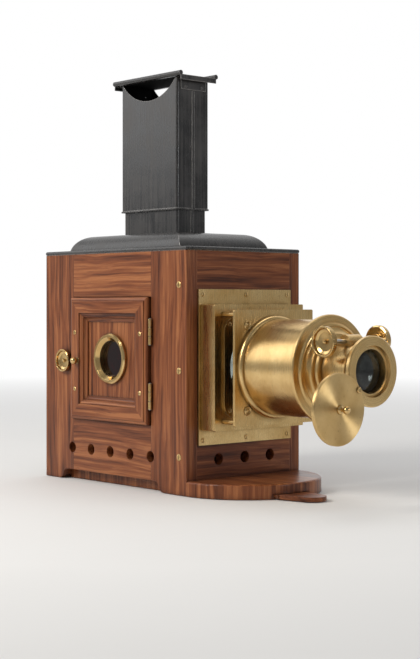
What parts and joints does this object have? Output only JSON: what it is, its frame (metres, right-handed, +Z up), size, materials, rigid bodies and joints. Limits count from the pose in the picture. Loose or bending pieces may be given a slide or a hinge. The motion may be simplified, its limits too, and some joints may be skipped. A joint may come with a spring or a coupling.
{
  "type": "magic lantern",
  "caption": "Oil-lit magic lantern: mahogany lamp house with hinged sight-glass door, sliding chimney, brass slide stage and a rack-focused objective with a swinging cap.",
  "frame": {"origin": "on the floor under the middle of the lamp house, on the underside of the base board", "axes": "+X forward along the lens axis, +Z up, the hinged door on the -Y side"},
  "size_m": [0.5119, 0.1975, 0.501],
  "materials": {
    "mahogany": "french polished",
    "brass": "lacquered",
    "japanned_iron": "black japanned sheet iron",
    "tinplate": "tinned sheet iron",
    "steel": "bright",
    "lens_glass": "polished",
    "ruby_glass": "polished dark glass",
    "silvered": "silvered"
  },
  "bodies": {
    "housing": {"base_board": "mahogany", "door_side_stiles": "mahogany", "door_side_rails": "mahogany", "off_side_stiles": "mahogany", "off_side_rails": "mahogany", "off_side_panel": "mahogany", "front_posts": "mahogany", "front_rails": "mahogany", "rear_rail": "mahogany", "body_screws": "brass", "front_plate": "brass", "front_plate_screws": "brass", "stage_block": "brass", "condenser_flange": "brass", "stage_screws": "brass", "condenser_cell": "brass", "condenser_lenses": "lens_glass", "stage_pillars": "brass", "lens_plate": "brass", "barrel": "brass", "barrel_flange": "brass", "nose_flange": "brass", "objective_jacket": "brass", "pinion_bracket": "brass", "roof_plate": "japanned_iron", "roof_dome": "japanned_iron", "chimney_tube": "japanned_iron", "body_hinge_leaves": "brass", "hinge_pins": "steel", "lamp_runners": "mahogany"},
    "side_door": {"door_frame": "mahogany", "door_moulding": "mahogany", "door_panel": "mahogany", "sight_bezel": "brass", "sight_glass": "ruby_glass", "door_pull": "brass", "door_hinge_leaves": "brass", "door_screws": "brass", "door_keeper": "brass"},
    "catch": {"catch_knob": "brass", "catch_bar": "steel"},
    "chimney": {"chimney_sleeve": "japanned_iron", "chimney_cap": "japanned_iron", "chimney_rivets": "japanned_iron"},
    "focusing_tube": {"objective_tube": "brass", "focus_rack": "steel", "objective_hood": "brass", "objective_lenses": "lens_glass", "cap_pivot": "brass"},
    "focus_drive": {"focus_pinion": "steel", "focus_knobs": "brass"},
    "objective_cap": {"lens_cap": "brass", "cap_knob": "brass"},
    "lamp": {"lamp_tray": "japanned_iron", "oil_tank": "tinplate", "wick_tube": "tinplate", "reflector": "silvered"},
    "wick_drive": {"wick_spindle": "brass"},
    "steady": {"steady_tongue": "mahogany"}
  },
  "joints": [
    {"name": "side_door_hinge", "type": "hinge", "parent": "housing", "child": "side_door", "pos_m": [0.0752, -0.0926, 0.15], "axis": [0, 0, 1], "range_deg": [0, 110]},
    {"name": "catch_turn", "type": "hinge", "parent": "housing", "child": "catch", "pos_m": [-0.0945, -0.08, 0.148], "axis": [0, 1, 0], "range_deg": [0, 90]},
    {"name": "chimney_slide", "type": "slide", "parent": "housing", "child": "chimney", "axis": [0, 0, 1], "range_m": [-0.025, 0.05]},
    {"name": "focus_slide", "type": "slide", "parent": "housing", "child": "focusing_tube", "axis": [1, 0, 0], "range_m": [0, 0.03]},
    {"name": "pinion_turn", "type": "hinge", "parent": "housing", "child": "focus_drive", "pos_m": [0.3086, 0, 0.178], "axis": [0, -1, 0], "range_deg": [0, 360]},
    {"name": "cap_swing", "type": "hinge", "parent": "focusing_tube", "child": "objective_cap", "pos_m": [0.3409, -0.02943, 0.12761], "axis": [1, 0, 0], "range_deg": [0, 178]},
    {"name": "lamp_slide", "type": "slide", "parent": "housing", "child": "lamp", "axis": [-1, 0, 0], "range_m": [0, 0.18]},
    {"name": "wick_turn", "type": "hinge", "parent": "lamp", "child": "wick_drive", "pos_m": [-0.1, 0, 0.072], "axis": [1, 0, 0], "continuous": true},
    {"name": "tongue_slide", "type": "slide", "parent": "housing", "child": "steady", "axis": [1, 0, 0], "range_m": [-0.044, 0.03]}
  ],
  "couplings": [
    {"joint": "pinion_turn", "follows": "focus_slide", "rad_per_m": 208.33}
  ]
}
